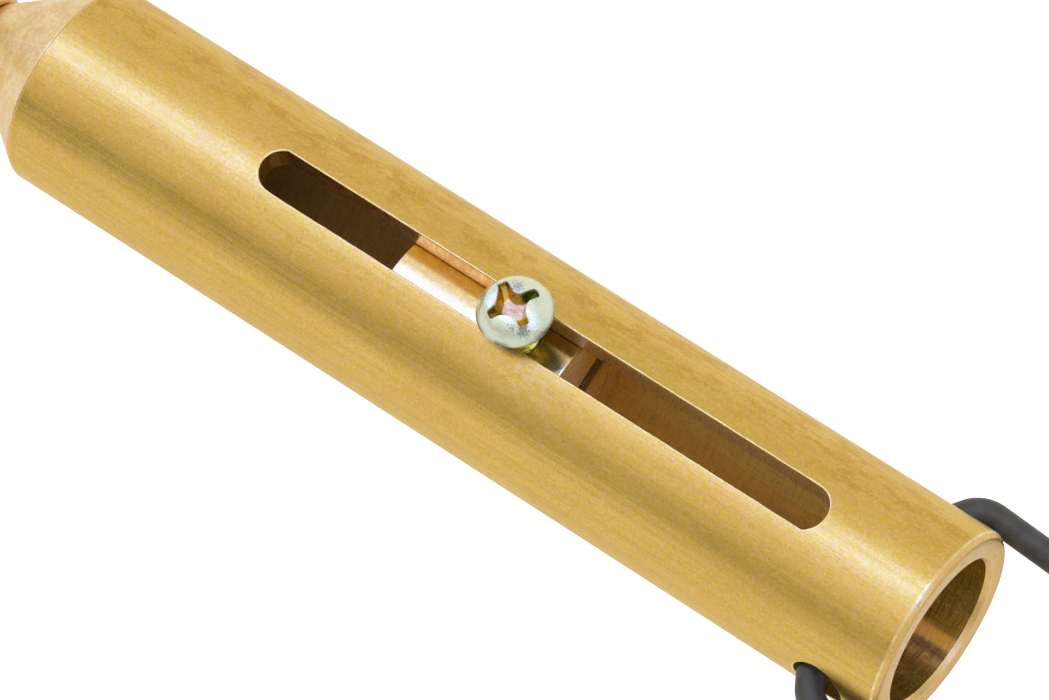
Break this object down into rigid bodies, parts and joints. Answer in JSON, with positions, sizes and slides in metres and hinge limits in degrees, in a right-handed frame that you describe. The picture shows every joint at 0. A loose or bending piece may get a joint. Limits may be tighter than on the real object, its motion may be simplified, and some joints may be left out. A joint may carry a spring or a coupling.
{
  "type": "training whistle",
  "caption": "Slotted brass tube whistle with a conical nose and blow tube, a sliding resonator held by a cross-recess clamp screw, and a wire bail.",
  "frame": {"origin": "middle of the object's box in X and Y, at the height of the table it lies on", "axes": "+X along the tube axis from the blow tube to the open end, +Z the side the slot opens to, +Y to the left of +X"},
  "size_m": [0.1344, 0.0212, 0.0189],
  "materials": {
    "drawn_brass": "drawn tube, aged, lengthwise streaks",
    "turned_brass": "fine turned",
    "polished_brass": "polished",
    "zinc_plate": "bright zinc with a yellow-green passivation in the recess",
    "blackened_wire": "black oxide, satin",
    "seal_rubber": "matt",
    "lock_nylon": "matt"
  },
  "bodies": {
    "whistle_body": {"body_tube": "drawn_brass", "nose_cone": "turned_brass", "nose_seal": "seal_rubber", "blow_tube": "drawn_brass", "neck_ferrule": "turned_brass", "mouth_bead": "turned_brass", "jet_ring": "turned_brass", "jet_core": "turned_brass"},
    "slider": {"slider_sleeve": "polished_brass", "edge_ring": "turned_brass"},
    "lock_pad": {"lock_pad": "lock_nylon"},
    "clamp_screw": {"clamp_screw": "zinc_plate"},
    "tuning_piston": {"tuning_piston": "turned_brass", "piston_seal": "seal_rubber"},
    "tuning_plug": {"tuning_plug": "polished_brass"},
    "bail": {"wire_bail": "blackened_wire"}
  },
  "joints": [
    {"name": "slider_travel", "type": "slide", "parent": "whistle_body", "child": "slider", "axis": [1, 0, 0], "range_m": [-0.0214, 0.0252]},
    {"name": "pad_lift", "type": "slide", "parent": "slider", "child": "lock_pad", "axis": [0, 0, 1], "range_m": [-0.00045, 0.001]},
    {"name": "clamp_screw_turn", "type": "hinge", "parent": "lock_pad", "child": "clamp_screw", "pos_m": [-0.00066, 0, 0.0172], "axis": [0, 0, 1], "range_deg": [-326, 722]},
    {"name": "piston_travel", "type": "slide", "parent": "slider", "child": "tuning_piston", "axis": [1, 0, 0], "range_m": [-0.0024, 0.0004]},
    {"name": "tuning_plug_turn", "type": "hinge", "parent": "tuning_piston", "child": "tuning_plug", "pos_m": [0.00349, 0, 0.008], "axis": [1, 0, 0], "range_deg": [-1154, 194]},
    {"name": "bail_swing", "type": "hinge", "parent": "whistle_body", "child": "bail", "pos_m": [0.03054, 0, 0.008], "axis": [0, 1, 0], "range_deg": [-167, 145]}
  ],
  "couplings": [
    {"joint": "clamp_screw_turn", "follows": "pad_lift", "rad_per_m": 12566},
    {"joint": "tuning_plug_turn", "follows": "piston_travel", "rad_per_m": 8377.6}
  ]
}
